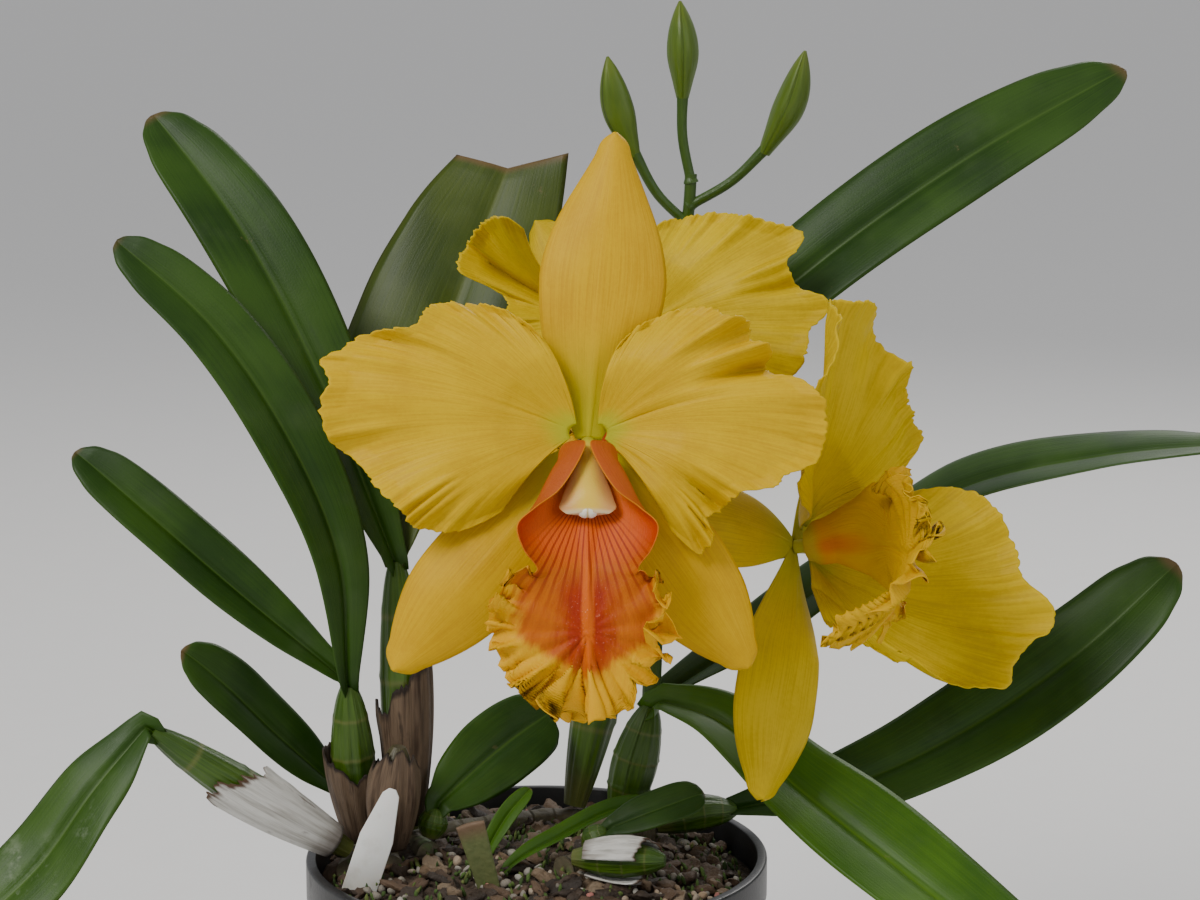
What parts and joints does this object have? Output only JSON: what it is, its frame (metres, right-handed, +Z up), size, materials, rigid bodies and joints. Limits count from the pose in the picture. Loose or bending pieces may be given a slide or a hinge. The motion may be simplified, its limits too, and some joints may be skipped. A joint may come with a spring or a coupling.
{
  "type": "potted cattleya orchid",
  "caption": "Orchid in a black nursery pot: large yellow ruffled blooms with orange-red frilled lips, a bud spray, strap leaves and sheathed pseudobulbs.",
  "frame": {"origin": "centre of the pot's underside, on the surface that the pot stands on", "axes": "+Z up; the front bloom faces -Y, and +X is to the right of someone who looks at that bloom"},
  "size_m": [0.4024, 0.1706, 0.4181],
  "materials": {
    "pot": "moulded black plastic, satin",
    "potting_mix": "rough fir bark chips with pale grit and moss",
    "plant_tag": "blank white plastic, satin",
    "rhizome": "dull woody rootstock",
    "leaf": "leathery green leaf, satin",
    "pseudobulb": "ribbed green skin, satin",
    "papery_sheath": "dry white papery bract, matte",
    "brown_sheath": "dry brown bract, matte",
    "flower_stem": "smooth green stem, satin",
    "bud": "smooth green bud, satin",
    "petal": "velvety deep yellow petal",
    "lip": "orange-red veined lip with a yellow frill",
    "side_lip": "yellow frilled lip, seen from outside",
    "column": "waxy cream column"
  },
  "bodies": {
    "root": {"back_bloom_column": "column", "back_bloom_dorsal_sepal": "petal", "back_bloom_lateral_sepal_left": "petal", "back_bloom_lateral_sepal_right": "petal", "back_bloom_lip": "side_lip", "back_bloom_petal_left": "petal", "back_bloom_petal_right": "petal", "bud_spray": "bud", "cut_leaf_stub": "leaf", "flower_stem": "flower_stem", "front_bloom_column": "column", "front_bloom_dorsal_sepal": "petal", "front_bloom_lateral_sepal_left": "petal", "front_bloom_lateral_sepal_right": "petal", "front_bloom_lip": "lip", "front_bloom_petal_left": "petal", "front_bloom_petal_right": "petal", "leaf_back_broad": "leaf", "leaf_back_left": "leaf", "leaf_centre": "leaf", "leaf_front_small": "leaf", "leaf_left_hanging": "leaf", "leaf_left_long": "leaf", "leaf_left_low": "leaf", "leaf_left_middle": "leaf", "leaf_new_shoot": "leaf", "leaf_new_tip": "leaf", "leaf_right_arching": "leaf", "leaf_right_high": "leaf", "leaf_right_level": "leaf", "leaf_right_low": "leaf", "plant_tag": "plant_tag", "pot": "pot", "potting_mix": "potting_mix", "pseudobulb_budding": "pseudobulb", "pseudobulb_centre": "pseudobulb", "pseudobulb_flowering": "pseudobulb", "pseudobulb_front_lying": "pseudobulb", "pseudobulb_front_small": "pseudobulb", "pseudobulb_left_back": "pseudobulb", "pseudobulb_left_front": "pseudobulb", "pseudobulb_left_leaning": "pseudobulb", "pseudobulb_left_low": "pseudobulb", "pseudobulb_old_brown": "pseudobulb", "pseudobulb_right_low": "pseudobulb", "rhizome": "rhizome", "sheath_front_lying": "papery_sheath", "sheath_left_back": "brown_sheath", "sheath_left_front": "brown_sheath", "sheath_left_leaning": "papery_sheath", "sheath_old_brown": "brown_sheath", "side_bloom_column": "column", "side_bloom_dorsal_sepal": "petal", "side_bloom_lateral_sepal_left": "petal", "side_bloom_lateral_sepal_right": "petal", "side_bloom_lip": "side_lip", "side_bloom_petal_left": "petal", "side_bloom_petal_right": "petal"}
  },
  "joints": []
}
